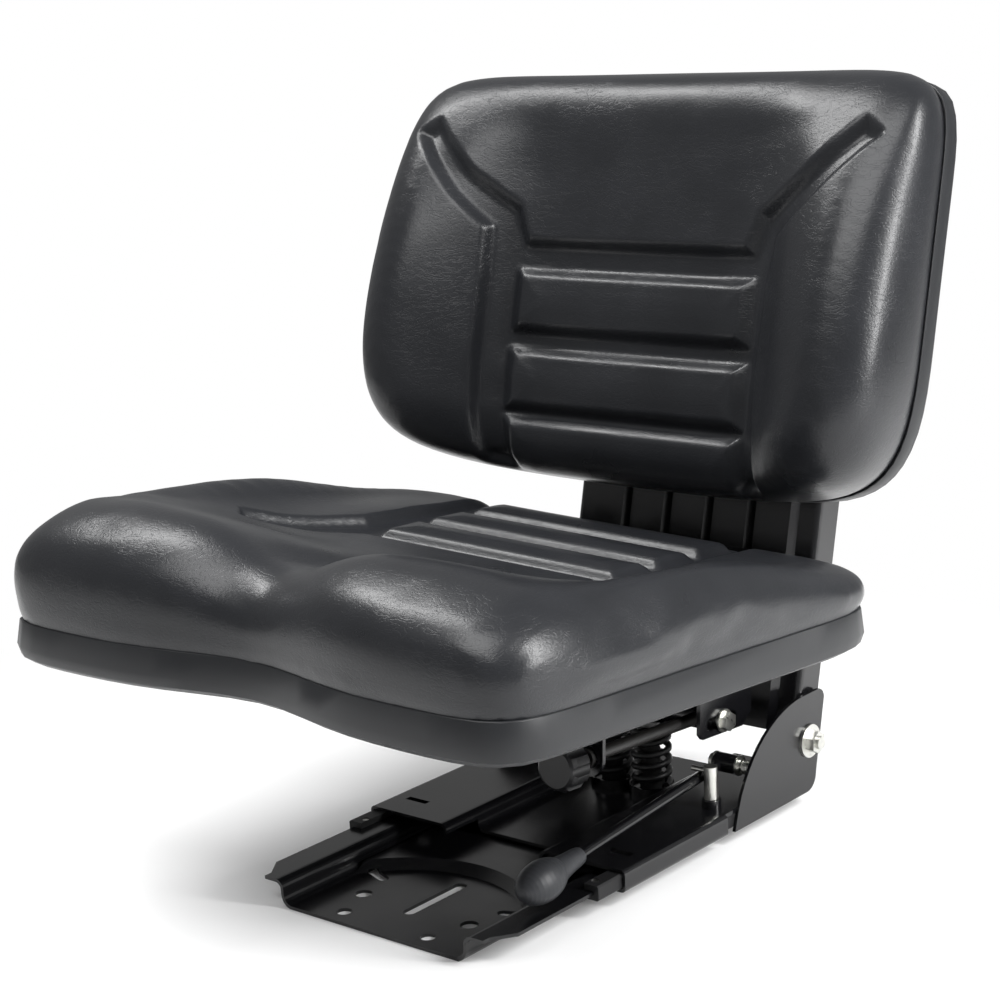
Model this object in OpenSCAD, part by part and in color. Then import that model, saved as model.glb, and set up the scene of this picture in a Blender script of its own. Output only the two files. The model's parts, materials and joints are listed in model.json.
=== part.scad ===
/* [Base pan] */
// Width of the pan floor over its outer corners
floor_w = 214; // [190:1:230]
// Height of the slide flanges over the mounting face
flange_z = 25; // [22:1:28]
// Width over the slide flanges
flange_w = 280; // [270:1:284]
// Distance from the front mounting holes to the pan's front edge
pan_front = 56; // [50:1:70]
// Distance between the front and rear mounting holes
hole_pitch_y = 200; // [180:1:210]
// Distance between the left and right mounting holes
hole_pitch_x = 123; // [110:1:130]
// Radius of the mounting holes
hole_r = 8; // [5:0.5:9]

/* [Slide] */
// Width over the slide channels
slide_w = 297.2; // [292:0.2:300]
// Length of the slide plate
slide_len = 296; // [280:1:310]
// Travel of the slide either way from the middle
slide_travel = 75; // [50:5:75]
// Spacing of the locking holes
lock_pitch = 12.5; // [12.5:12.5:25]

/* [Swing frame] */
// Distance of the swing pivot behind the mounting pattern's centre
pivot_y = 297; // [290:1:300]
// Height of the swing pivot
pivot_z = 64; // [60:1:68]
// Recline of the upright, in degrees
recline = 14.5; // [12:0.5:17]
// Downward tilt of the seat pan to the rear, in degrees
rake = 4; // [3:0.5:5]
// Length of the upright above the pivot
upright_len = 575; // [520:5:600]

/* [Seat] */
// Width of the seat over its cushion at the front
seat_front_w = 572; // [540:2:580]
// Width of the seat over its cushion at the rear
seat_rear_w = 572; // [540:2:580]
// Depth of the seat from front to rear
seat_depth = 522; // [510:2:540]
// Height of the cushion seam at the front edge
seam_z = 274; // [265:1:280]
// Height of the shell's rim below the seam
shell_h = 36; // [30:1:38]

/* [Backrest] */
// Width of the backrest
back_w = 578; // [560:2:590]
// Height of the backrest along its slope
back_h = 390; // [370:1:400]
// Distance from the pivot up to the backrest's lower edge, along the slope
back_low = 221; // [215:1:230]

/* [Hidden] */

$fn = 48;
sheet_t = 3;
pan_y0 = -hole_pitch_y / 2 - pan_front;
pan_y1 = 262;
hump_y = -18;
hump_r = 118;
hump_z = 9;
hump_end = 58;
flange_x = flange_w / 2;
flange_front_x = 126;
slide_x = slide_w / 2;
slide_y0 = 5;
slide_y1 = slide_y0 + slide_len;
web_y1 = 160;
ear_y0 = 166;
ear_t = 3.2;
strip_z = 34;
tray_z = 17;
lip_z = 13.4;
lip_x = 130;
strip_x = 62;
tray_front = 45;
glide_y0 = -28;
glide_y1 = 180;
glide_x0 = 130;
glide_x1 = 145.2;
rivet_x = 134;
lock_x = 124;
lock_y = 170;
lock_r = 4.6;
pin_r = 4;
pin_lift_gap = 0.5;
lever_y = 210;
lever_z = 62;
panel_x = 142;
panel_face = 24.6;
flange_d = 41;
band_n = 8;
band_pitch = 49;
band_w = 34;
stop_v = 36;
swing_deg = 6.5;
stop_run = stop_v * tan(swing_deg) + 0.3;
stop_slot_r = 5.7;
frame_bolt_v = 153;
seat_y0 = -301;
seat_mid = seat_depth / 2 + 2;
recess_d = 28;
recess_w = 88;
frame_y0 = 120;
frame_y1 = 609;
frame_flange = 32;
back_mid = back_low + back_h / 2;
bar_y = 216;
bar_x = 108;
plate_y = 42;
screw_x = 84;
screw_z = 116;
frame_under = seat_y0 * sin(rake) + (seam_z - screw_z) * cos(rake) - shell_h - sheet_t;
seat_bolt_x = 122;
seat_bolt_y = [173, 443];
spring_x = 23;
spring_r = 17;
spring_h = 58;
around = 80;

// A rise from 0 at a to 1 at b with level ends
function ease(a, b, v) = let(t = max(0, min(1, (v - a) / (b - a)))) t * t * (3 - 2 * t);

// Points along an arc from angle a0 to angle a1
function arc(c, r, a0, a1, n = 6) =
    [for (i = [0:n]) let(a = a0 + (a1 - a0) * i / n) c + r * [cos(a), sin(a)]];

function unit(v) = v / norm(v);

function side_normal(a, b) = let(d = unit(b - a)) [-d[1], d[0]];

function mirrored(p) = [for (i = [len(p) - 1:-1:0]) [-p[i][0], p[i][1]]];

// The other face of a folded sheet whose first face follows the points p
function offset_path(p, t) = [for (i = [0:len(p) - 1])
    let(j = max(i - 1, 0), k = min(i, len(p) - 2),
        n0 = side_normal(p[j], p[j + 1]), n1 = side_normal(p[k], p[k + 1]), m = unit(n0 + n1))
    p[i] + m * t / (m * n0)];

module folded_sheet(p, t) {
    q = offset_path(p, t);
    polygon(concat(p, [for (i = [len(q) - 1:-1:0]) q[i]]));
}

// Extrudes an x, z outline along y
module along_y(y0, y1) {
    translate([0, y1, 0])
        rotate([90, 0, 0])
            linear_extrude(y1 - y0)
                children();
}

// Extrudes a y, z outline along x, centred on x = 0
module along_x(w) {
    rotate([90, 0, 90])
        translate([0, 0, -w / 2])
            linear_extrude(w)
                children();
}

module pair_x(x) {
    for (s = [-1, 1])
        translate([s * x, 0, 0])
            children();
}

module round_x(r, x0, x1) {
    translate([x0, 0, 0])
        rotate([0, 90, 0])
            cylinder(r = r, h = x1 - x0);
}

module hex_x(across, x0, x1) {
    translate([x0, 0, 0])
        rotate([0, 90, 0])
            cylinder(r = across / sqrt(3), h = x1 - x0, $fn = 6);
}

// A closed skin through a list of rings, each a closed loop of points
module skin(rings) {
    n = len(rings[0]);
    m = len(rings);
    first = [for (k = [0:2]) sum_of(rings[0], k) / n];
    last = [for (k = [0:2]) sum_of(rings[m - 1], k) / n];
    points = concat([for (r = rings) each r], [first, last]);
    sides = [for (j = [0:m - 2], i = [0:n - 1])
        let(a = j * n + i, b = j * n + (i + 1) % n)
        each [[a, a + n, b + n], [a, b + n, b]]];
    ends = [for (i = [0:n - 1])
        let(k = (i + 1) % n)
        each [[m * n, i, k], [m * n + 1, (m - 1) * n + k, (m - 1) * n + i]]];
    polyhedron(points, concat(sides, ends));
}

function sum_of(r, k) = let(v = [for (p = r) p[k]]) v * [for (p = r) 1];

// A wire coil about z
module coil(r, wire_r, h, turns, sides = 8, steps = 16) {
    count = turns * steps;
    rings = [for (i = [0:count])
        let(a = 360 * i / steps, z = h * i / count)
        [for (k = [0:sides - 1])
            let(b = -360 * k / sides, d = r + wire_r * cos(b))
            [d * cos(a), d * sin(a), z + wire_r * sin(b)]]];
    skin(rings);
}

module seat_place() {
    translate([0, seat_y0, seam_z])
        rotate([-rake, 0, 0])
            children();
}

module back_place() {
    translate([0, pivot_y, pivot_z])
        rotate([-recline, 0, 0])
            children();
}

module adjuster_place() {
    translate([0, 0, screw_z])
        rotate([-rake, 0, 0])
            children();
}

// The pressed pan that bolts to the machine and carries the slide flanges
module pan_profile() {
    fx = floor_w / 2;
    left = concat([[-flange_x, flange_z - sheet_t]], arc([-fx - 6, flange_z - 9], 6, 90, 0),
        arc([-fx + 12, 12], 12, 180, 270));
    folded_sheet(concat(left, mirrored(left)), sheet_t);
}

module pan_walls() {
    difference() {
        along_y(pan_y0, pan_y1)
            pan_profile();
        translate([-floor_w / 2 + 11, pan_y0 - 1, -1])
            cube([floor_w - 22, pan_y1 - pan_y0 + 2, 10]);
        for (s = [-1, 1])
            translate([0, pan_y0, 0])
                linear_extrude(40)
                    polygon([[s * flange_front_x, -1], [s * 160, -1], [s * 160, 44],
                        [s * (flange_x + 0.1), 28], [s * flange_front_x, 8]]);
    }
}

module pan_floor() {
    half = floor_w / 2 - 9;
    intersection() {
        translate([0, hump_y - hump_r, 0])
            rotate_extrude($fn = 96)
                folded_sheet([[0, 0], [hump_r, 0], [hump_r + 8, hump_z], [hump_r + 150, hump_z]], sheet_t);
        translate([-half, pan_y0, -1])
            cube([2 * half, hump_end - pan_y0, 30]);
    }
    along_x(2 * half)
        folded_sheet([[hump_end, hump_z], [hump_end + 4, hump_z], [hump_end + 14, 0], [pan_y1, 0]], sheet_t);
}

module pan_holes() {
    for (sx = [-1, 1]) {
        for (sy = [-1, 1])
            translate([sx * hole_pitch_x / 2, sy * hole_pitch_y / 2, -1])
                cylinder(r = hole_r, h = 6);
        translate([sx * 48.5, -138, -1])
            cylinder(r = 7, h = 6);
        translate([sx * 79, -62, -1])
            rotate([0, 0, sx * 20])
                for (d = [-10, 10])
                    translate([d, 0, 0])
                        cylinder(r = 5, h = 6);
        translate([sx * 79, -62, 2])
            rotate([0, 0, sx * 20])
                cube([20, 10, 8], center = true);
    }
    for (y = [-107, -41])
        translate([0, y, -1])
            cylinder(r = 6, h = 6);
    translate([-6, -107, -1])
        cube([12, 66, 6]);
}

module lock_holes() {
    count = floor(slide_travel / lock_pitch);
    for (i = [-count:count])
        translate([lock_x, lock_y + i * lock_pitch, flange_z - sheet_t - 1])
            cylinder(r = lock_r, h = 6);
}

module base_pan() {
    color([0.07, 0.07, 0.075])
        difference() {
            union() {
                pan_walls();
                pan_floor();
            }
            pan_holes();
            lock_holes();
            pair_x(rivet_x)
                for (y = [glide_y0 + 10, glide_y1 - 10])
                    translate([0, y, 0])
                        cylinder(r = 2.1, h = 40);
        }
}

// Nylon strips that hook over the flange edges and carry the slide
module glide_profile() {
    low = lip_z + sheet_t + 0.6;
    high = strip_z - sheet_t - 0.4;
    difference() {
        polygon([[glide_x0, low], [glide_x1 - 1.5, low], [glide_x1, low + 1.5], [glide_x1, high - 1.5],
            [glide_x1 - 1.5, high], [glide_x0, high]]);
        translate([glide_x0 - 1, flange_z - sheet_t - 0.05])
            square([flange_x - glide_x0 + 1.05, sheet_t + 0.1]);
    }
}

module glide_strips() {
    color([0.13, 0.13, 0.13])
        for (s = [0, 1])
            mirror([s, 0, 0])
                difference() {
                    along_y(glide_y0, glide_y1)
                        glide_profile();
                    for (y = [glide_y0 + 10, glide_y1 - 10])
                        translate([rivet_x, y, 10]) {
                            cylinder(r = 2.1, h = 30);
                            translate([0, 0, 18])
                                cylinder(r = 3.6, h = 10);
                        }
                }
}

module glide_rivets() {
    color("silver")
        pair_x(rivet_x)
            for (y = [glide_y0 + 10, glide_y1 - 10])
                translate([0, y, 0]) {
                    translate([0, 0, lip_z + 3.6])
                        cylinder(r = 2, h = 12);
                    translate([0, 0, 28])
                        cylinder(r = 3.5, h = 1.8);
                }
}

// The sliding plate: two channels that wrap the flanges, and a dropped tray between them
module slide_profile() {
    r = 4.5;
    left = concat([[-lip_x, lip_z]], arc([-slide_x + r, lip_z + r], r, 270, 180, 4),
        arc([-slide_x + r, strip_z - r], r, 180, 90, 4), arc([-strip_x, strip_z - 8], 8, 90, 0),
        arc([-strip_x + 16, tray_z + 8], 8, 180, 270));
    folded_sheet(concat(left, mirrored(left)), -sheet_t);
}

module slide_front_cut() {
    translate([0, 0, -1])
        linear_extrude(strip_z - 8)
            polygon(concat([[-64, slide_y0 - 1]], arc([-44, tray_front + 18], 18, 180, 250),
                mirrored(concat([[-64, slide_y0 - 1]], arc([-44, tray_front + 18], 18, 180, 250)))));
    translate([-51, slide_y0 - 1, 0])
        cube([102, tray_front - slide_y0, 60]);
}

module slide_plate() {
    color([0.06, 0.06, 0.065])
        difference() {
            along_y(slide_y0, slide_y1)
                slide_profile();
            slide_front_cut();
            for (s = [-1, 1]) {
                translate([s * (slide_x - ear_t + 10), (web_y1 + slide_y1) / 2 + 10, 20])
                    cube([20, slide_y1 - web_y1 + 20, 40], center = true);
                translate([s * 119, 38, strip_z])
                    cube([25, 7, 12], center = true);
                translate([s * 139, (ear_y0 + slide_y1) / 2 + 8, lip_z])
                    cube([20, slide_y1 - ear_y0 + 28, 8], center = true);
            }
            translate([lock_x, lock_y, 20])
                cylinder(r = 5.2, h = 20);
        }
}

// Upright ears at the rear of the slide that hold the swing pivot
module ear_outline() {
    difference() {
        polygon(concat([[ear_y0 + 5, 14]], arc([pivot_y - 7, -10], 120, 158, 90, 12),
            arc([pivot_y + 18, 100], 10, 90, 0, 5),
            arc([pivot_y - 5, 30], 16, 0, -90, 6)));
        translate([pivot_y, pivot_z])
            circle(r = 6.05);
    }
}

module ear_plate() {
    translate([slide_x - ear_t / 2, 0, 0])
        along_x(ear_t)
            ear_outline();
}

module ear_left() {
    color([0.07, 0.07, 0.075])
        ear_plate();
}

module ear_right() {
    color([0.07, 0.07, 0.075])
        mirror([1, 0, 0])
            ear_plate();
}

module at_pivot(x_sign) {
    translate([0, pivot_y, pivot_z])
        mirror([x_sign < 0 ? 1 : 0, 0, 0])
            children();
}

module pivot_bolts() {
    color("silver")
        for (s = [-1, 1])
            at_pivot(s) {
                round_x(6, 126, slide_x + 14);
                hex_x(19, 127, 134);
            }
}

module pivot_washers() {
    color("silver")
        for (s = [-1, 1])
            at_pivot(s)
                difference() {
                    union() {
                        round_x(16, slide_x, slide_x + 2.5);
                        round_x(12, 134, 138.2);
                    }
                    round_x(6.05, 120, 170);
                }
}

module pivot_nuts() {
    color("silver")
        for (s = [-1, 1])
            at_pivot(s)
                difference() {
                    hex_x(19, slide_x + 2.5, slide_x + 11);
                    round_x(6.05, 120, 170);
                }
}

// Studs inside the ears that stop the upright at the top of its swing
module stop_studs() {
    color([0.07, 0.07, 0.075])
        for (s = [-1, 1])
            translate([0, pivot_y + stop_v * sin(recline), pivot_z + stop_v * cos(recline)])
                mirror([s < 0 ? 1 : 0, 0, 0])
                    round_x(5, 136, slide_x - ear_t);
}

module latch_stud() {
    color("silver")
        translate([0, lever_y, lever_z]) {
            round_x(4, 98, slide_x - ear_t);
            round_x(7, 98, 101.5);
            round_x(6.5, 129.5, 132);
        }
}

module latch_washers() {
    color("silver")
        translate([0, lever_y, lever_z])
            for (x = [101.6, 128])
                difference() {
                    round_x(9.5, x, x + 1.4);
                    round_x(4.1, x - 1, x + 4);
                }
}

// Welded sleeve that guides the locking pin through the slide channel
module pin_guide() {
    color([0.07, 0.07, 0.075])
        translate([lock_x, lock_y, strip_z])
            difference() {
                union() {
                    cylinder(r = 9, h = 7.7);
                    translate([0, 0, -sheet_t])
                        cylinder(r = 5.1, h = sheet_t);
                }
                translate([0, 0, -5])
                    cylinder(r = pin_r + 0.08, h = 14);
            }
}

module spring_cups() {
    color([0.07, 0.07, 0.075])
        pair_x(spring_x)
            translate([0, bar_y, tray_z])
                rotate_extrude()
                    polygon([[0, 0], [22.6, 0], [22.6, 7], [20.8, 7], [20.8, 3], [0, 3]]);
}

module suspension_springs() {
    color([0.05, 0.05, 0.05])
        pair_x(spring_x)
            translate([0, bar_y, tray_z + 3 + 3.3])
                coil(spring_r, 3.2, spring_h, 5);
}

module bump_stops() {
    color([0.04, 0.04, 0.04])
        pair_x(spring_x)
            translate([0, bar_y, tray_z + 3])
                rotate_extrude()
                    polygon([[0, 0], [12, 0], [12, 8], [9, 14], [10, 22], [8, 30], [9, 38], [6, 46], [0, 46]]);
}

// The lever that lifts the locking pin, and its egg-shaped grip
function lever_heel() = [109, lever_y - 4, lever_z - 1];

function lever_bend() = [124, -11, 55];

function grip_end() = [124, -104, 45];

module rod(a, b, r) {
    d = b - a;
    translate(a)
        rotate([0, acos(d[2] / norm(d)), atan2(d[1], d[0])])
            cylinder(r = r, h = norm(d));
}

module latch_hub() {
    color([0.08, 0.08, 0.085])
        translate([0, lever_y, lever_z])
            difference() {
                round_x(9, 103.2, 127.8);
                round_x(4.06, 90, 140);
            }
}

module latch_rod() {
    sides = 24;
    path = [lever_heel(), lever_bend(), (lever_bend() + grip_end()) / 2];
    color([0.08, 0.08, 0.085])
        difference() {
            skin([for (i = [0:2])
                let(d = unit(path[min(i + 1, 2)] - path[max(i - 1, 0)]),
                    side = unit(cross(d, [0, 0, 1])), up = cross(side, d))
                [for (k = [0:sides - 1])
                    path[i] + 5 * (cos(360 * k / sides) * up + sin(360 * k / sides) * side)]]);
            translate([0, lever_y, lever_z])
                round_x(9, 90, 140);
        }
}

module latch_grip() {
    a = lever_bend();
    d = grip_end() - a;
    color([0.2, 0.2, 0.21])
        difference() {
            translate(a)
                rotate([0, acos(d[2] / norm(d)), atan2(d[1], d[0])])
                    rotate_extrude()
                        polygon(concat([[0, 14], [7.5, 14], [8.5, 20], [9.5, 32]],
                            [for (t = [140:-10:0]) [18 * sin(t), 66 + 28 * cos(t)]]));
            rod(a, a + 0.5 * d, 5.05);
        }
}

module latch_return_spring() {
    color("silver")
        translate([132.6, lever_y, lever_z])
            rotate([0, 90, 0])
                translate([0, 0, 1])
                    coil(6.2, 1, 10, 5, 6, 12);
}

module latch_pin() {
    heel = lever_heel();
    rise = (heel[2] - lever_bend()[2]) / (heel[1] - lever_bend()[1]);
    lift_z = heel[2] - rise * (heel[1] - lock_y);
    color("silver") {
        translate([lock_x, lock_y, 19])
            cylinder(r = pin_r, h = 24);
        translate([lock_x, lock_y, 42])
            cylinder(r = 6.4, h = 31);
        translate([0, lock_y, lift_z + 5 + pin_lift_gap + 2.5])
            round_x(2.5, 104, lock_x);
    }
}

// The pressed frame under the seat, with the hanging plate that holds the adjuster screw
module frame_profile() {
    left = concat([[-panel_x, -shell_h - frame_flange]], arc([-panel_x + 5, -shell_h - 5], 5, 180, 90));
    folded_sheet(concat(left, mirrored(left)), -sheet_t);
}

module frame_ribs() {
    for (x = [-70, 0, 70])
        translate([x, frame_y0 + 30, -shell_h - sheet_t])
            rotate([-90, 0, 0])
                cylinder(r = 7, h = frame_y1 - frame_y0 - 84);
}

module seat_frame() {
    color([0.07, 0.07, 0.075])
        difference() {
            union() {
                seat_place()
                    difference() {
                        union() {
                            along_y(frame_y0, frame_y1)
                                frame_profile();
                            intersection() {
                                frame_ribs();
                                translate([-100, frame_y0 + 10, -shell_h - 12])
                                    cube([200, frame_y1 - frame_y0 - 34, 11]);
                            }
                        }
                        for (s = [-1, 1])
                            translate([s * panel_x, frame_y1 + 2, -shell_h - 20])
                                cube([20, 20, 44], center = true);
                        pair_x(seat_bolt_x)
                            for (y = seat_bolt_y)
                                translate([0, y, -60])
                                    cylinder(r = 4.1, h = 60);
                        for (y = [223, 333])
                            pair_x(36)
                                translate([0, y, -60])
                                    cylinder(r = 20, h = 60);
                    }
                back_place()
                    translate([-112, -panel_face - sheet_t, frame_bolt_v - 31])
                        cube([224, sheet_t, 51]);
                adjuster_place()
                    hanging_plate();
            }
            adjuster_place()
                translate([screw_x, plate_y - 4, 0])
                    rotate([-90, 0, 0])
                        cylinder(r = 6.08, h = 12);
            frame_bolt_places()
                translate([0, 0, -20])
                    cylinder(r = 4.1, h = 60);
        }
}

module hanging_plate() {
    translate([screw_x, plate_y, 0])
        rotate([-90, 0, 0])
            cylinder(r = 17, h = 4);
    translate([screw_x - 17, plate_y, 0])
        cube([34, 4, frame_under + 1]);
}

// Side plates with the slots that the adjuster bar travels in
module adjuster_plates() {
    color([0.07, 0.07, 0.075])
        adjuster_place()
            for (s = [-1, 1])
                translate([s * (bar_x - 2), 0, 0])
                    along_x(4)
                        difference() {
                            polygon([[179, -7], [184, -12], [248, -12], [262, 0], [262, frame_under],
                                [160, frame_under], [179, 40]]);
                            for (y = [bar_y - 20, bar_y + 15])
                                translate([y, 0])
                                    circle(r = 6.3);
                            translate([bar_y - 20, -6.3])
                                square([35, 12.6]);
                        }
}

// The upright: a ribbed panel whose side flanges run down to the pivot
module panel_profile() {
    y0 = -panel_face;
    band = [for (k = [-2:2])
        let(c = k * band_pitch)
        each [[c - band_w / 2 - 5, y0 + band_n], [c - band_w / 2, y0], [c + band_w / 2, y0],
            [c + band_w / 2 + 5, y0 + band_n]]];
    left = concat([[-panel_x, y0 + flange_d]], arc([-panel_x + 6, y0 + band_n + 6], 6, 180, 270));
    folded_sheet(concat(left, band, mirrored(left)), sheet_t);
}

module panel_lug() {
    along_x(sheet_t)
        difference() {
            union() {
                circle(r = 21);
                translate([-21, 0])
                    square([flange_d - 4.4, 30]);
            }
            circle(r = 9);
            translate([0, stop_v])
                circle(r = stop_slot_r);
        }
}

module back_panel() {
    color([0.07, 0.07, 0.075])
        difference() {
            back_place()
                union() {
                    difference() {
                        translate([0, 0, 6])
                            linear_extrude(upright_len - 6)
                                panel_profile();
                        translate([-200, -panel_face - 1, upright_len])
                            rotate([-35, 0, 0])
                                cube([400, 90, 60]);
                    }
                    pair_x(panel_x - sheet_t / 2)
                        panel_lug();
                }
            back_place()
                for (s = [-1, 1])
                    translate([s * panel_x, 0, stop_v])
                        for (y = [0, stop_run])
                            translate([-10, y, 0])
                                round_x(stop_slot_r, 0, 20);
            back_place() {
                pair_x(panel_x)
                    translate([-10, 0, stop_v - stop_slot_r])
                        cube([20, stop_run, 2 * stop_slot_r]);
                pair_x(panel_x)
                    round_x(9, -10, 10);
            }
            frame_bolt_places()
                translate([0, 0, -20])
                    cylinder(r = 4.1, h = 60);
            back_bolt_places()
                translate([0, 0, -30])
                    cylinder(r = 4.1, h = 60);
        }
}

module pivot_bushes() {
    color([0.85, 0.84, 0.8])
        for (s = [-1, 1])
            at_pivot(s)
                difference() {
                    union() {
                        round_x(9, panel_x - sheet_t, panel_x);
                        round_x(13, panel_x, panel_x + 2.8);
                    }
                    round_x(6.05, 130, 150);
                }
}

// Places of the bolts that join the seat frame to the upright, with z pointing rearward
module frame_bolt_places() {
    back_place()
        for (x = [-2, -1, 1, 2])
            translate([x * band_pitch, -panel_face, frame_bolt_v])
                rotate([-90, 0, 0])
                    children();
}

module back_bolt_places() {
    back_place()
        pair_x(2 * band_pitch)
            for (v = [300, 500])
                translate([0, -panel_face, v])
                    rotate([-90, 0, 0])
                        children();
}

module frame_bolts() {
    color("silver")
        frame_bolt_places() {
            translate([0, 0, -sheet_t - 5.3])
                cylinder(r = 13 / sqrt(3), h = 5.3, $fn = 6);
            translate([0, 0, -sheet_t - 0.1])
                cylinder(r = 4, h = 15);
            translate([0, 0, sheet_t])
                cylinder(r = 13 / sqrt(3), h = 6.5, $fn = 6);
        }
}

module back_bolts() {
    color("silver")
        back_bolt_places() {
            translate([0, 0, sheet_t])
                cylinder(r = 13 / sqrt(3), h = 5.3, $fn = 6);
            translate([0, 0, -2.8])
                cylinder(r = 4, h = 7);
        }
}

module seat_bolts() {
    color("silver")
        seat_place()
            pair_x(seat_bolt_x)
                for (y = seat_bolt_y)
                    translate([0, y, -shell_h - sheet_t]) {
                        translate([0, 0, -5.3])
                            cylinder(r = 13 / sqrt(3), h = 5.3, $fn = 6);
                        translate([0, 0, -0.1])
                            cylinder(r = 4, h = 5.9);
                    }
}

// Angle of the point i of a ring, closer together at the corners of a half_w by half_d outline
function ring_angle(i, half_w, half_d) = let(t = 360 * i / around, s = t + 6 * sin(4 * t))
    atan2(half_d * sin(s), half_w * cos(s));

// Plan of the seat: a rounded square with a recess in the middle of its front edge
function seat_reach(a) =
    let(n = sin(a) < 0 ? 12 : 10, d = seat_depth / 2,
        w = (seat_front_w + seat_rear_w + (seat_rear_w - seat_front_w) * sin(a)) / 4)
    pow(pow(abs(cos(a)) / w, n) + pow(abs(sin(a)) / d, n), -1 / n);

function seat_point(a, inset, scale = 1) =
    let(r = (seat_reach(a) - inset) * scale, x = r * cos(a), y = r * sin(a),
        pull = recess_d * exp(-pow(x / recess_w, 2)) * ease(0.3, 1, -2 * y / seat_depth))
    [x, seat_mid + y + pull];

// Height of the seat cushion over the seam
function seat_top(x, y) =
    let(middle = 105 - 64 * ease(110, 423, y), side = 110 - 66 * ease(193, 543, y),
        valley = 26 * exp(-pow(x / 62, 2)) * (1 - ease(100, 283, y)))
    middle + (side - middle) * ease(155, 235, abs(x)) - valley;

// Rings are [inset, scale, share of the cushion's height, height over the seam]
function seat_rings(list) = [for (r = list)
    [for (i = [0:around - 1])
        let(p = seat_point(ring_angle(i, seat_front_w / 2, seat_depth / 2), r[0], r[1]))
        [p[0], p[1], r[2] * seat_top(p[0], p[1]) + r[3]]]];

module seat_cushion() {
    color([0.07, 0.07, 0.08])
        seat_place()
            skin(seat_rings([[12, 1, 0, 0.6 - shell_h + sheet_t], [6.6, 1, 0, 6 - shell_h + sheet_t],
                [6.6, 1, 0, 1], [1, 1, 0, 6], [-3.5, 1, 0.3, 0], [-4.5, 1, 0.5, 0], [-2, 1, 0.7, 0],
                [6, 1, 0.85, 0], [17, 1, 0.94, 0], [31, 1, 0.985, 0], [48, 1, 1, 0],
                [48, 0.84, 1, 0], [48, 0.66, 1, 0], [48, 0.48, 1, 0], [48, 0.28, 1, 0], [48, 0.1, 1, 0]]));
}

module seat_shell() {
    color([0.05, 0.05, 0.055])
        seat_place()
            difference() {
                skin(seat_rings([[40, 1, 0, -shell_h], [12, 1, 0, -shell_h], [3, 1, 0, 5 - shell_h],
                    [0, 1, 0, 14 - shell_h], [3, 1, 0, -1], [3.4, 1, 0, 0]]));
                skin(seat_rings([[40, 1, 0, sheet_t - shell_h], [12, 1, 0, sheet_t - shell_h],
                    [6, 1, 0, 8 - shell_h], [6, 1, 0, 10]]));
                pair_x(seat_bolt_x)
                    for (y = seat_bolt_y)
                        translate([0, y, -60])
                            cylinder(r = 4.1, h = 60);
            }
}

// Outline of the backrest across its slope
function back_reach(a) =
    let(n = sin(a) < 0 ? 4.6 : 9)
    pow(pow(abs(cos(a)) * 2 / back_w, n) + pow(abs(sin(a)) * 2 / back_h, n), -1 / n);

// How far the wings come forward, and the rim and the rear of the shell with them
function back_front(x, v) = 130 + (78 - 48 * pow((v - 340) / 215, 2)) * ease(110, 245, abs(x));

function back_rim(x) = 42 + 53 * pow(abs(x) * 2 / back_w, 2.5);

function back_rear(x) = 58 * pow(max(0, abs(x) - 140) * 2 / (back_w - 280), 2);

// Rings are [inset, scale, kind, share or distance]: kind 0 from the rear, 1 from the rim, 2 up to the front
function back_rings(list) = [for (r = list)
    [for (i = [0:around - 1])
        let(a = ring_angle(i, back_w / 2, back_h / 2), d = (back_reach(a) - r[0]) * r[1],
            x = d * cos(a), v = back_mid + d * sin(a), rim = back_rim(x),
            n = r[2] == 0 ? back_rear(x) + r[3] : r[2] == 1 ? rim + r[3] : rim + r[3] * (back_front(x, v) - rim))
        [x, -panel_face - n, v]]];

module back_shell() {
    color([0.05, 0.05, 0.055])
        difference() {
            back_place()
                difference() {
                    skin(back_rings([[0, 0.4, 0, 0], [0, 0.7, 0, 0], [34, 1, 0, 0], [9, 1, 1, -30],
                        [1, 1, 1, -18], [1, 1, 1, 0]]));
                    skin(back_rings([[0, 0.4, 0, 3], [0, 0.7, 0, 3], [36, 1, 0, 3], [12, 1, 1, -27.5],
                        [4, 1, 1, -16.5], [4, 1, 1, 6]]));
                }
            back_bolt_places()
                translate([0, 0, -30])
                    cylinder(r = 4.1, h = 60);
        }
}

module back_cushion() {
    color([0.07, 0.07, 0.08])
        back_place()
            skin(back_rings([[0, 0.4, 0, 4], [0, 0.7, 0, 4], [38, 1, 0, 4.5], [14, 1, 1, -26],
                [5.5, 1, 1, -15], [5.5, 1, 1, 1.2], [0, 1, 1, 6], [-4, 1, 2, 0.3], [-5, 1, 2, 0.5],
                [-2, 1, 2, 0.7], [6, 1, 2, 0.85], [18, 1, 2, 0.94], [34, 1, 2, 0.985], [52, 1, 2, 1],
                [52, 0.8, 2, 1], [52, 0.6, 2, 1], [52, 0.4, 2, 1], [52, 0.2, 2, 1]]));
}

// The bar that the screw draws fore and aft, with a saddle over each spring
module adjuster_bar() {
    color([0.07, 0.07, 0.075])
        adjuster_place()
            translate([0, bar_y, 0])
                difference() {
                    union() {
                        round_x(12, -bar_x + 4.4, bar_x - 4.4);
                        pair_x(spring_x)
                            translate([0, 0, -16])
                                cylinder(r = 21, h = 4.5);
                        pair_x(spring_x)
                            translate([0, 0, -8])
                                cube([20, 20, 12], center = true);
                    }
                    translate([screw_x, -40, 0])
                        rotate([-90, 0, 0])
                            cylinder(r = 6.08, h = 80);
                    for (s = [-1, 1])
                        mirror([s < 0 ? 1 : 0, 0, 0])
                            round_x(5, bar_x - 12, bar_x);
                }
}

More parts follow.
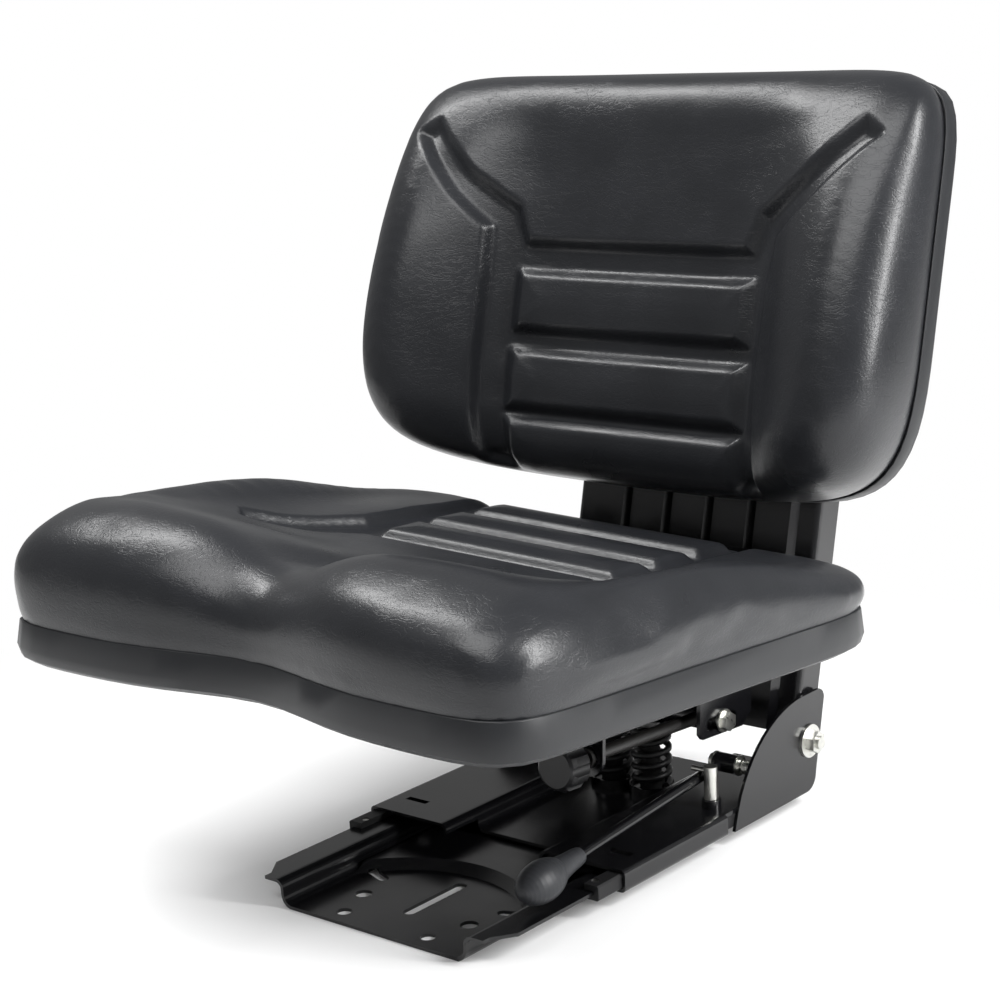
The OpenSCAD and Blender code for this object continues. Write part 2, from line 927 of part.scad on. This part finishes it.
module adjuster_bolts() {
    color("silver")
        adjuster_place()
            translate([0, bar_y, 0])
                for (s = [-1, 1])
                    mirror([s < 0 ? 1 : 0, 0, 0]) {
                        round_x(5, bar_x - 12, bar_x + 2);
                        round_x(6, bar_x - 4.4, bar_x + 0.3);
                        round_x(11, bar_x + 0.3, bar_x + 2.3);
                        hex_x(16, bar_x + 2.3, bar_x + 8.5);
                    }
}

module weight_screw() {
    color("silver")
        adjuster_place()
            translate([screw_x, 0, 0])
                rotate([-90, 0, 0])
                    rotate_extrude()
                        polygon([[0, 8], [6, 8], [6, plate_y - 5], [10, plate_y - 5], [10, plate_y - 0.3],
                            [6, plate_y - 0.3], [6, plate_y + 4.3], [9, plate_y + 4.3], [9, plate_y + 7],
                            [6, plate_y + 7], [6, bar_y + 32], [5, bar_y + 34], [0, bar_y + 34]]);
}

module weight_knob() {
    lobes = 8;
    color([0.05, 0.05, 0.05])
        adjuster_place()
            translate([screw_x, 0, 0])
                rotate([-90, 0, 0])
                    difference() {
                        rotate_extrude()
                            polygon([[0, -4], [17, -4], [20, -2], [22, 2], [22, 18], [20, 21], [14, 23],
                                [12, 30], [0, 30]]);
                        for (i = [0:lobes - 1])
                            rotate([0, 0, 360 * i / lobes])
                                translate([25, 0, -6])
                                    cylinder(r = 6, h = 32);
                        translate([0, 0, 8])
                            cylinder(r = 6, h = 40);
                    }
}

base_pan();
glide_strips();
glide_rivets();
slide_plate();
ear_left();
ear_right();
pivot_bolts();
pivot_washers();
pivot_nuts();
stop_studs();
latch_stud();
latch_washers();
pin_guide();
spring_cups();
suspension_springs();
bump_stops();
latch_hub();
latch_rod();
latch_grip();
latch_return_spring();
latch_pin();
seat_frame();
adjuster_plates();
back_panel();
pivot_bushes();
frame_bolts();
seat_shell();
seat_cushion();
seat_bolts();
back_shell();
back_cushion();
back_bolts();
adjuster_bar();
adjuster_bolts();
weight_screw();
weight_knob();
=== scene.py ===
# %% [markdown]
# # A tractor seat in coated vinyl and pressed steel
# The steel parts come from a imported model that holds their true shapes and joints. This file gives
# every part its finish, and makes the soft cushions and the smooth shells as meshes around that
# model. The model is loaded first, because every later piece takes its place from it.

# %% Load the model
import json
import math

import bpy
import numpy as np
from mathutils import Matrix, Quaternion, Vector

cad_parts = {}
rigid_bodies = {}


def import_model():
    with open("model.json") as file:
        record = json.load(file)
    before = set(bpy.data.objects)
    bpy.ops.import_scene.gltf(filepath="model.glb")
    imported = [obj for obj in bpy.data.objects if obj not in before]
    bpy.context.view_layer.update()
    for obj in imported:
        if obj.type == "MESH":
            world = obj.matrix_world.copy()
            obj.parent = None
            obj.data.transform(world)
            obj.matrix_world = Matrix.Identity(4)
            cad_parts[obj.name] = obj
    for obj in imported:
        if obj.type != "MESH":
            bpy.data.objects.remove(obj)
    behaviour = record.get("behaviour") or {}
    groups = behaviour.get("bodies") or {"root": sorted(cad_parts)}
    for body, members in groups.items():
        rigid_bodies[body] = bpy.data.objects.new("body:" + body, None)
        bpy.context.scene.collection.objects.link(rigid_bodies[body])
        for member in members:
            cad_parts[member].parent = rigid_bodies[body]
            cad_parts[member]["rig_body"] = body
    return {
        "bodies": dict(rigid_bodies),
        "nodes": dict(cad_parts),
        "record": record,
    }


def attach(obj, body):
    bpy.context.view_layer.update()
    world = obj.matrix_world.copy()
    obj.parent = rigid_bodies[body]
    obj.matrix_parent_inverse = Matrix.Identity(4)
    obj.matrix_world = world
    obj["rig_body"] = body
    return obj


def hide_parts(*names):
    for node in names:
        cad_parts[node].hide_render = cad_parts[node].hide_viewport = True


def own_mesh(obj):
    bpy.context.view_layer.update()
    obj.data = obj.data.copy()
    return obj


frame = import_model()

MM = 0.001
nodes = frame["nodes"]
loaded = set(nodes.values()) | set(frame["bodies"].values())
for thing in list(bpy.data.objects):
    if thing not in loaded:
        bpy.data.objects.remove(thing)
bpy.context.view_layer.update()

# %% [markdown]
# The camera stands in front of the seat, on the lever's side, a little above it. Its place and lens
# were found from points on the left and right of the seat that mirror each other, so the render
# and the photograph can be laid over one another. A small roll matches how the camera was held.

# %% Camera
PHOTO_W = 1000
focal_px = 2253.3
camera_at = Vector((1.2547, -1.4183, 0.7781))
looks_at = Vector((-0.0158, 0.0599, 0.3301))
roll = math.radians(-3.14)

camera = bpy.data.objects.new("camera", bpy.data.cameras.new("camera"))
camera.data.sensor_width = 36
camera.data.lens = 36 * focal_px / PHOTO_W
camera.location = camera_at
camera.rotation_mode = "QUATERNION"
camera.rotation_quaternion = ((looks_at - camera_at).to_track_quat("-Z", "Y")
                              @ Quaternion((0, 0, 1), roll))
bpy.context.scene.collection.objects.link(camera)
bpy.context.scene.camera = camera
bpy.context.scene.view_settings.view_transform = "Standard"
print("The lens is", round(camera.data.lens, 1), "mm")

# %% [markdown]
# Colours are easiest to judge as the hex values that a paint chart or a picture editor shows.
# Blender mixes light in linear values, so one function turns the first into the second. A second
# function adds a shader node, with its settings and what is plugged into it, in one line. A third
# starts a material with the values that are the same all over its surface.

# %% Colours and shader nodes
def linear(hex_colour):
    """The linear colour, with alpha, of an sRGB hex value such as #1c1d20."""
    parts = [int(hex_colour[i:i + 2], 16) / 255 for i in (1, 3, 5)]
    return (*[c / 12.92 if c <= 0.04045 else ((c + 0.055) / 1.055) ** 2.4 for c in parts], 1)


def node(tree, kind, settings=None, inputs=None):
    """A new shader node: settings are its properties, and inputs are values or sockets to link."""
    made = tree.nodes.new(kind)
    for name, value in (settings or {}).items():
        setattr(made, name, value)
    for name, value in (inputs or {}).items():
        if isinstance(value, bpy.types.NodeSocket):
            tree.links.new(value, made.inputs[name])
        else:
            made.inputs[name].default_value = value
    return made


def finish_named(name, hex_colour, **constants):
    """A material, its node tree and its main shader, with constants on the shader's own sockets."""
    made = bpy.data.materials.new(name)
    made.use_nodes = True
    shader = made.node_tree.nodes["Principled BSDF"]
    shader.inputs["Base Color"].default_value = linear(hex_colour)
    for socket, value in constants.items():
        shader.inputs[socket.replace("_", " ")].default_value = value
    return made, made.node_tree, shader


def object_place(tree):
    """Where a point is on its piece, in metres."""
    return node(tree, "ShaderNodeTexCoord").outputs["Object"]


def per_metre(size_mm):
    """The texture scale at which one cell of a pattern is that many millimetres wide."""
    return 1 / (size_mm * MM)


# %% [markdown]
# The stage is a pale floor under a white world, as in a product photograph. Near the seat the floor
# is plain matt paint, so it takes the shadow. Further out, what the camera sees of it fades to
# white, so no horizon shows. The world is white to the camera, a third as bright in reflections and
# dimmer still as a light, so that paint and vinyl render about as dark as they are. The highlights
# come from three softboxes, and the tall one on the right draws the long bands along the bends.

# %% Floor, world and lamps
FLOOR_W = 60
SHADOW_R = 0.3
FADE_R = 1.0

bpy.ops.mesh.primitive_circle_add(vertices=64, radius=FLOOR_W / 2, fill_type="NGON")
floor = bpy.context.object
floor.name = "floor"

floor_paint, tree, shader = finish_named("matt floor paint", "#f6f6f6", Roughness=0.9)
radius = node(tree, "ShaderNodeVectorMath", {"operation": "LENGTH"}, {0: object_place(tree)})
fade = node(tree, "ShaderNodeMapRange", {"interpolation_type": "SMOOTHSTEP"},
            {"Value": radius.outputs["Value"], "From Min": SHADOW_R, "From Max": FADE_R})
seen = node(tree, "ShaderNodeLightPath").outputs["Is Camera Ray"]
share = node(tree, "ShaderNodeMath", {"operation": "MULTIPLY"}, {0: fade.outputs[0], 1: seen})
white = node(tree, "ShaderNodeEmission")
blend = node(tree, "ShaderNodeMixShader", None,
             {0: share.outputs[0], 1: shader.outputs[0], 2: white.outputs[0]})
tree.links.new(blend.outputs[0], tree.nodes["Material Output"].inputs["Surface"])
floor.data.materials.append(floor_paint)

world = bpy.data.worlds.new("white studio")
world.use_nodes = True
bpy.context.scene.world = world
tree = world.node_tree
rays = node(tree, "ShaderNodeLightPath").outputs
mirrored = node(tree, "ShaderNodeMapRange", None,
                {"Value": rays["Is Glossy Ray"], "To Min": 0.2, "To Max": 0.36})
strength = node(tree, "ShaderNodeMath", {"operation": "MAXIMUM"},
                {0: mirrored.outputs[0], 1: rays["Is Camera Ray"]})
background = tree.nodes["Background"]
background.inputs["Color"].default_value = linear("#ffffff")
tree.links.new(strength.outputs[0], background.inputs["Strength"])


def softbox(name, place, aim, width, height, watts):
    lamp = bpy.data.objects.new(name, bpy.data.lights.new(name, "AREA"))
    lamp.data.shape = "RECTANGLE"
    lamp.data.size = width
    lamp.data.size_y = height
    lamp.data.energy = watts
    lamp.location = place
    lamp.rotation_euler = (Vector(aim) - Vector(place)).to_track_quat("-Z", "Y").to_euler()
    bpy.context.scene.collection.objects.link(lamp)


softbox("right_lamp", (2.0, 0.6, 1.4), (0, 0, 0.4), 0.35, 2.2, 115)
softbox("top_lamp", (0.2, -1.0, 2.5), (0, 0, 0.4), 1.8, 1.8, 80)
softbox("left_lamp", (-1.2, 0.0, 2.2), (0, 0, 0.4), 0.4, 1.2, 32)

# %% [markdown]
# **Coated vinyl.** The covers are a knitted cloth coated with soft PVC that is rolled with a fine
# leather grain, then drawn over the foam. It is satin, so a lamp gives a soft bright band along a
# bend and the flats stay dark. Its grain is about 1 mm across, too fine for this render, so it is
# drawn at 2 mm. In patches the cover is creased: thin lines a centimetre or two long, which lie
# where a stretched noise crosses its middle value.

# %% Vinyl
def bump(tree, height, depth_mm, strength, normal=None):
    """A Bump node of that depth, laid over an earlier one."""
    inputs = {"Height": height, "Distance": depth_mm * MM, "Strength": strength}
    if normal is not None:
        inputs["Normal"] = normal
    return node(tree, "ShaderNodeBump", None, inputs).outputs["Normal"]


def vinyl_cover():
    made, tree, shader = finish_named("vinyl, grained and satin", "#1a1b1d", Roughness=0.28,
                                      Specular_IOR_Level=0.28)
    place = object_place(tree)
    patches = node(tree, "ShaderNodeTexNoise", None, {"Vector": place, "Scale": per_metre(70), "Detail": 2.0})
    tone = node(tree, "ShaderNodeMix", {"data_type": "RGBA"},
                {0: patches.outputs[0], 6: linear("#18191b"), 7: linear("#1f2023")})
    tree.links.new(tone.outputs[2], shader.inputs["Base Color"])
    sheen = node(tree, "ShaderNodeMapRange", None,
                 {"Value": patches.outputs[0], "From Min": 0.3, "From Max": 0.7, "To Min": 0.27, "To Max": 0.34})
    tree.links.new(sheen.outputs[0], shader.inputs["Roughness"])
    grain = node(tree, "ShaderNodeTexVoronoi", {"feature": "SMOOTH_F1"}, {"Vector": place, "Scale": per_metre(2)})
    fine = bump(tree, grain.outputs["Distance"], 0.15, 0.45)
    stretched = node(tree, "ShaderNodeMapping", {"vector_type": "TEXTURE"},
                     {"Vector": place, "Scale": (16 * MM, 16 * MM, 6 * MM)})
    wander = node(tree, "ShaderNodeTexNoise", None,
                  {"Vector": stretched.outputs[0], "Scale": 1.0, "Detail": 3.0, "Distortion": 1.2})
    from_middle = node(tree, "ShaderNodeMath", {"operation": "SUBTRACT"}, {0: wander.outputs[0], 1: 0.5})
    off_line = node(tree, "ShaderNodeMath", {"operation": "ABSOLUTE"}, {0: from_middle.outputs[0]})
    beside = node(tree, "ShaderNodeMapRange", {"interpolation_type": "SMOOTHSTEP"},
                  {"Value": off_line.outputs[0], "From Max": 0.05})
    smooth_parts = node(tree, "ShaderNodeMapRange", None,
                        {"Value": patches.outputs[0], "From Min": 0.4, "From Max": 0.6, "To Min": 0.7, "To Max": 0.0})
    creased = node(tree, "ShaderNodeMath", {"operation": "MAXIMUM"},
                   {0: beside.outputs[0], 1: smooth_parts.outputs[0]})
    tree.links.new(bump(tree, creased.outputs[0], 0.22, 0.32, fine), shader.inputs["Normal"])
    return made


# %% [markdown]
# **Gloss powder coat.** The pressed steel is coated black: a thick, glossy skin with a faint orange
# peel where the powder flowed. The peel is a few millimetres across, so it can be seen in the
# long reflections along the channels.

# %% Powder coat, zinc and spring steel
def powder_coat():
    made, tree, shader = finish_named("black powder coat on steel", "#0d0d0f", Roughness=0.2)
    place = object_place(tree)
    peel = node(tree, "ShaderNodeTexNoise", None, {"Vector": place, "Scale": per_metre(4), "Detail": 2.0})
    haze = node(tree, "ShaderNodeTexNoise", None, {"Vector": place, "Scale": per_metre(45), "Detail": 3.0})
    rough = node(tree, "ShaderNodeMapRange", None, {"Value": haze.outputs[0], "To Min": 0.14, "To Max": 0.28})
    tree.links.new(rough.outputs[0], shader.inputs["Roughness"])
    tree.links.new(bump(tree, peel.outputs[0], 0.15, 0.25), shader.inputs["Normal"])
    return made


def zinc_plate():
    made, tree, shader = finish_named("bright zinc plate", "#c9c9c4", Metallic=1.0, Roughness=0.3)
    place = object_place(tree)
    cloud = node(tree, "ShaderNodeTexNoise", None, {"Vector": place, "Scale": per_metre(6), "Detail": 4.0})
    rough = node(tree, "ShaderNodeMapRange", None, {"Value": cloud.outputs[0], "To Min": 0.2, "To Max": 0.42})
    tone = node(tree, "ShaderNodeMix", {"data_type": "RGBA"},
                {0: cloud.outputs[0], 6: linear("#b9bab6"), 7: linear("#d6d5cf")})
    tree.links.new(tone.outputs[2], shader.inputs["Base Color"])
    tree.links.new(rough.outputs[0], shader.inputs["Roughness"])
    tree.links.new(bump(tree, cloud.outputs[0], 0.05, 0.2), shader.inputs["Normal"])
    return made


def coated_spring():
    made, tree, shader = finish_named("black coated spring wire", "#0c0c0d", Roughness=0.5)
    scale = node(tree, "ShaderNodeTexNoise", None, {"Vector": object_place(tree), "Scale": per_metre(3), "Detail": 3.0})
    tree.links.new(bump(tree, scale.outputs[0], 0.08, 0.3), shader.inputs["Normal"])
    return made


def thread_in_painted_shade():
    """The weight screw is zinc plated, but its thread is coloured near black: painted shade, as the thread looks in
    shade.
    """
    # Painted shade: the near-black colour stands for shade on the zinc thread, not for a coating or grease.
    made, tree, shader = finish_named("zinc thread, painted dark as shade", "#161514", Roughness=0.42)
    thread_noise = node(tree, "ShaderNodeTexNoise", None, {"Vector": object_place(tree), "Scale": per_metre(9), "Detail": 3.0})
    rough = node(tree, "ShaderNodeMapRange", None, {"Value": thread_noise.outputs[0], "To Min": 0.3, "To Max": 0.55})
    tree.links.new(rough.outputs[0], shader.inputs["Roughness"])
    tree.links.new(bump(tree, thread_noise.outputs[0], 0.3, 0.4), shader.inputs["Normal"])
    return made


# %% [markdown]
# **Moulded plastics and rubber.** The shells under the cushions are injection moulded with a fine
# spark texture, which spreads the light into a satin grey. The strips, the knob and the grip
# are plainer mouldings, and the stops are matt rubber. One function serves them all, because
# they differ only in colour, gloss and the size of their texture.

# %% Plastics and rubber
def moulded(name, dark, light, rough, grain_mm, depth_mm):
    made, tree, shader = finish_named(name, dark, Roughness=rough, Specular_IOR_Level=0.26)
    place = object_place(tree)
    flow = node(tree, "ShaderNodeTexNoise", None, {"Vector": place, "Scale": per_metre(60), "Detail": 3.0})
    tone = node(tree, "ShaderNodeMix", {"data_type": "RGBA"},
                {0: flow.outputs[0], 6: linear(dark), 7: linear(light)})
    tree.links.new(tone.outputs[2], shader.inputs["Base Color"])
    spark = node(tree, "ShaderNodeTexNoise", None, {"Vector": place, "Scale": per_metre(grain_mm), "Detail": 1.0})
    tree.links.new(bump(tree, spark.outputs[0], depth_mm, 0.3), shader.inputs["Normal"])
    return made


finishes = {
    "black_steel": powder_coat(),
    "zinc_steel": zinc_plate(),
    "spring_steel": coated_spring(),
    "vinyl": vinyl_cover(),
    "shell_plastic": moulded("polypropylene, spark textured", "#17181a", "#1c1d1f", 0.42, 1.6, 0.1),
    "black_nylon": moulded("black nylon, moulded", "#161617", "#1b1b1c", 0.5, 2.0, 0.05),
    "white_nylon": moulded("natural nylon, moulded", "#c8c4b8", "#d2cec2", 0.45, 2.5, 0.05),
    "grip_plastic": moulded("dark grey soft plastic, moulded", "#2a2b2d", "#303134", 0.45, 1.8, 0.08),
    "knob_plastic": moulded("black phenolic, moulded", "#121213", "#161617", 0.35, 3.0, 0.04),
    "rubber": moulded("black rubber, moulded", "#151515", "#1a1a1a", 0.75, 2.0, 0.1),
}
slot_of = {part["node"]: part["material_slot"] for part in frame["record"]["subparts"]}


def paint(piece, slot):
    piece.data.materials.clear()
    piece.data.materials.append(finishes[slot])


for name, steel in nodes.items():
    steel.data.materials.clear()
    steel.data.materials.append(finishes[slot_of[name]])
# The weight screw's thread is coloured near black as painted shade.
nodes["weight_screw"].data.materials[0] = thread_in_painted_shade()
print("Painted", len(nodes), "nodes with", len(finishes), "finishes")

# %% [markdown]
# Some parts of the model are made of flat facets, because its exact form isn't a simple turned or
# folded one: the shells, the lever's bent rod and the springs. A merged copy of each takes smooth
# shading wherever two facets meet at a small angle, and stands for the facets.

# %% Smooth copies of the faceted parts
def only(piece):
    """Selects one piece and nothing else."""
    bpy.ops.object.select_all(action="DESELECT")
    piece.select_set(True)
    bpy.context.view_layer.objects.active = piece


def merged_copy(node_name, name):
    piece = bpy.data.objects.new(name, nodes[node_name].data.copy())
    bpy.context.scene.collection.objects.link(piece)
    only(piece)
    bpy.ops.mesh.customdata_custom_splitnormals_clear()
    bpy.ops.object.mode_set(mode="EDIT")
    bpy.ops.mesh.select_all(action="SELECT")
    bpy.ops.mesh.remove_doubles(threshold=0.01 * MM)
    bpy.ops.object.mode_set(mode="OBJECT")
    return piece


def stand_for(piece, node_name):
    """The piece takes the node's finish and body, and is shown in its place."""
    paint(piece, slot_of[node_name])
    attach(piece, nodes[node_name]["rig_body"])
    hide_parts(node_name)


def apply(piece, kind, **settings):
    modifier = piece.modifiers.new(kind.lower(), kind)
    for name, value in settings.items():
        setattr(modifier, name, value)
    only(piece)
    bpy.ops.object.modifier_apply(modifier=modifier.name)


def shaded_smooth(node_name, name, angle, edge_r=0):
    """A copy with smooth shading, and with its sharp edges rounded where an edge radius is given."""
    piece = merged_copy(node_name, name)
    if edge_r:
        apply(piece, "BEVEL", limit_method="ANGLE", angle_limit=math.radians(50), width=edge_r, segments=2)
    bpy.ops.object.shade_smooth_by_angle(angle=math.radians(angle))
    stand_for(piece, node_name)
    return piece


shaded_smooth("seat_shell", "seat_shell_moulding", 40, edge_r=1.2 * MM)
shaded_smooth("back_shell", "back_shell_moulding", 40, edge_r=1.2 * MM)
shaded_smooth("latch_rod", "lever_rod", 40)
shaded_smooth("latch_return_spring", "lever_return_spring", 60)
springs = shaded_smooth("suspension_springs", "seat_springs", 60)
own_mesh(springs)

# %% [markdown]
# The cushions are foam blocks in vinyl. Each starts as the plain solid that the model keeps for it.
# A voxel remesh gives it an even skin, smoothing takes the facets away, and a short cloth
# simulation with air pressure inside rounds it as foam does under a tight cover. How far a point
# may move is capped, and points below the seam, which sit in the shell, don't move.

# %% Foam blocks
VOXEL = 6 * MM
PRESSURE = 4
PUFF_FRAMES = 20
PUFF_CAP = 3 * MM


def points_of(piece):
    flat = np.empty(len(piece.data.vertices) * 3)
    piece.data.vertices.foreach_get("co", flat)
    return flat.reshape(-1, 3)


def set_points(piece, points):
    piece.data.vertices.foreach_set("co", points.ravel())
    piece.data.update()


def normals_of(piece):
    flat = np.empty(len(piece.data.vertices) * 3)
    piece.data.vertex_normals.foreach_get("vector", flat)
    return flat.reshape(-1, 3)


def ease(start, end, value):
    """A rise from 0 at start to 1 at end with level ends."""
    t = np.clip((value - start) / (end - start), 0, 1)
    return t * t * (3 - 2 * t)


def puffed(piece, free):
    """Blows the piece up a little: free is 1 where a point may move as far as the cap, and 0 where it stays."""
    start = points_of(piece)
    cloth = piece.modifiers.new("puff", "CLOTH")
    cloth.settings.use_pressure = True
    cloth.settings.uniform_pressure_force = PRESSURE
    cloth.settings.effector_weights.gravity = 0
    for step in range(1, PUFF_FRAMES + 1):
        bpy.context.scene.frame_set(step)
    only(piece)
    bpy.ops.object.modifier_apply(modifier=cloth.name)
    moved = points_of(piece) - start
    reach = np.linalg.norm(moved, axis=1)
    share = np.minimum(1, PUFF_CAP * free / np.maximum(reach, 1e-9))
    set_points(piece, start + moved * share[:, None])
    bpy.context.scene.frame_set(1)
    print(piece.name, "swelled by up to", round(float((reach * share).max() / MM), 1), "mm")


def foam_block(node_name, name, above_seam):
    """A smooth, softly swollen copy of a node. above_seam gives each point's height over the seam, in metres."""
    piece = merged_copy(node_name, name)
    apply(piece, "REMESH", mode="VOXEL", voxel_size=VOXEL)
    apply(piece, "SMOOTH", factor=0.5, iterations=14)
    free = ease(3 * MM, 25 * MM, above_seam(points_of(piece)))
    puffed(piece, free)
    apply(piece, "SMOOTH", factor=0.5, iterations=8)
    apply(piece, "SUBSURF", levels=1, render_levels=1)
    bpy.ops.object.shade_smooth()
    return piece


# %% [markdown]
# The covers are pressed with a pattern: a sunken channel runs round a raised middle panel and round
# three raised pads. Its outline is a short list of corners, and the depth at any point follows
# from how far that point is inside or outside of it. Both cushions use the same two functions.

# %% Sunken channels and raised pads
def inside(outline, u, v):
    """How far each point u, v is inside a closed outline, in metres, and negative outside."""
    near = np.full(len(u), 1e9)
    odd = np.zeros(len(u), bool)
    for (u0, v0), (u1, v1) in zip(outline, outline[1:] + outline[:1]):
        du, dv = u1 - u0, v1 - v0
        t = np.clip(((u - u0) * du + (v - v0) * dv) / (du * du + dv * dv), 0, 1)
        near = np.minimum(near, np.hypot(u - u0 - t * du, v - v0 - t * dv))
        if v0 != v1:
            odd ^= ((v0 > v) != (v1 > v)) & (u < u0 + (v - v0) * du / dv)
    return np.where(odd, near, -near)


def both_sides(right_half):
    """A closed outline from its right half, which runs from the middle line back to the middle line."""
    return right_half + [(-u, v) for u, v in reversed(right_half[1:-1])]


def box_outline(half_width, low, high):
    return [(-half_width, low), (half_width, low), (half_width, high), (-half_width, high)]


def relief(u, v, channel, pads, depth, slope, crown):
    """The height of the pressed pattern at each point: minus depth in the channel, and up again on the pads."""
    sunk = ease(-slope / 2, slope / 2, inside(channel, u, v))
    for pad in pads:
        into = inside(pad, u, v)
        sunk *= 1 - ease(-slope / 2, slope / 2, into)
        sunk -= crown / depth * ease(0, 25 * MM, into)
    return -depth * sunk


def press(piece, normal_share, height):
    """Moves each point along its normal by height, where it faces the sitter."""
    normals = normals_of(piece)
    set_points(piece, points_of(piece) + normals * (height * ease(0.15, 0.5, normal_share(normals)))[:, None])


# %% [markdown]
# **Seat cushion.** It leans back by 4 degrees, so its own directions are turned by that: u runs
# across, v rearward along the seam and w up from it. The channel frames a panel of cross ribs in the
# hollow where the sitter's weight rests, and ends in a small pocket at each front corner. The thighs
# rest on the plain lobes in front. The plain block is fuller than the finished cushion, whose
# cover is drawn down into a dish between narrow side bolsters. So each point comes down by the
# ratio of two height formulas, one for the block and one for the cover, and the rounded edges keep
# their form.

# %% Seat cushion
SEAT_AT = np.array([0, -301, 274]) * MM
SEAT_RAKE = math.radians(4)
COVER_LEAN = 0.03


def turned(angle):
    """The rotation that leans a piece back about the X axis, for row vectors times its transpose."""
    c, s = math.cos(angle), math.sin(angle)
    return np.array([[1, 0, 0], [0, c, s], [0, -s, c]])


def on_seat(points):
    return (points - SEAT_AT) @ turned(SEAT_RAKE)


def block_top(across, rearward):
    """The height of the plain block over the seam, in millimetres."""
    middle = 105 - 64 * ease(110, 423, rearward)
    side = 110 - 66 * ease(193, 543, rearward)
    return middle + (side - middle) * ease(155, 235, across)


def cover_top(across, rearward):
    """The height of the drawn-in cover, in millimetres: a dish between bolsters, with a round front."""
    dish = 96 - 56 * ease(50, 280, rearward)
    bolster = 86 + 4 * ease(100, 200, rearward) - 46 * ease(230, 520, rearward)
    ridge = 5 * np.exp(-((across - 262) / 16) ** 2) * ease(70, 150, rearward) * (1 - ease(330, 450, rearward))
    whole = dish + (bolster - dish) * np.clip((across - 120) / 150, 0, 1) ** 2.2 + ridge
    return whole * (1 - 0.18 * (1 - ease(0, 90, rearward))) * (1 - 0.06 * ease(240, 286, across))


def drop(place):
    """How far each point of the block comes down to lie on the cover, in metres."""
    across, rearward = np.abs(place[:, 0]) / MM, place[:, 1] / MM
    valley = np.exp(-(across / 62) ** 2) * (1 - ease(100, 283, rearward))
    lean = COVER_LEAN * place[:, 0] / MM
    keep = (cover_top(across, rearward) - lean - 30 * valley) / (block_top(across, rearward) - 26 * valley)
    return np.maximum(place[:, 2], 0) * (1 - keep)


seat_channel = both_sides([(u * MM, v * MM) for u, v in (
    (0, 306), (130, 306), (150, 288), (176, 240), (188, 224), (202, 220), (214, 232), (208, 250), (182, 296),
    (164, 340), (156, 560), (0, 560))])
seat_pads = [box_outline(132 * MM, low * MM, (low + 48) * MM) for low in (328, 390, 452)]
seat_pads.append(box_outline(132 * MM, 514 * MM, 560 * MM))

seat = foam_block("seat_cushion", "seat_cover", lambda p: on_seat(p)[:, 2])
place = on_seat(points_of(seat))
seat_up = turned(SEAT_RAKE)[:, 2]
set_points(seat, points_of(seat) - drop(place)[:, None] * seat_up)
pattern = relief(place[:, 0], place[:, 1], seat_channel, seat_pads, 9 * MM, 12 * MM, 2 * MM)
press(seat, lambda n: n @ seat_up, pattern)
stand_for(seat, "seat_cushion")
print("The seat cover has", len(seat.data.polygons), "faces")

# %% [markdown]
# **Back cushion.** It leans back by 14.5 degrees about the pivot bolts. Here u runs across, v up
# along the slope and w forward from the steel upright. The channel comes down beside three pads
# and sweeps outward at the top, so the upper panel widens to the corners of the back.

# %% Back cushion
BACK_AT = np.array([0, 297, 64]) * MM
BACK_RECLINE = math.radians(14.5)
PANEL_FACE = 24.6 * MM


def on_back(points):
    """Across, up the slope and forward from the upright's face."""
    local = (points - BACK_AT) @ turned(BACK_RECLINE)
    return np.stack([local[:, 0], local[:, 2], -local[:, 1] - PANEL_FACE], axis=1)


def over_back_seam(points):
    across, _, forward = on_back(points).T
    return forward - (42 + 53 * (np.abs(across) / (289 * MM)) ** 2.5) * MM


back_channel = both_sides([(u * MM, v * MM) for u, v in (
    (0, 442), (127, 442), (133, 457), (139, 474), (189, 507), (242, 556), (259, 545), (201, 486),
    (163, 455), (160, 410), (158, 190), (0, 190))])
back_pads = [box_outline(131 * MM, low * MM, high * MM) for low, high in ((359, 414), (284, 338), (190, 271))]

back = foam_block("back_cushion", "back_cover", over_back_seam)
place = on_back(points_of(back))
pattern = relief(place[:, 0], place[:, 1], back_channel, back_pads, 10 * MM, 14 * MM, 2 * MM)
press(back, lambda n: -(n @ turned(BACK_RECLINE))[:, 1], pattern)
stand_for(back, "back_cushion")
print("The back cover has", len(back.data.polygons), "faces")
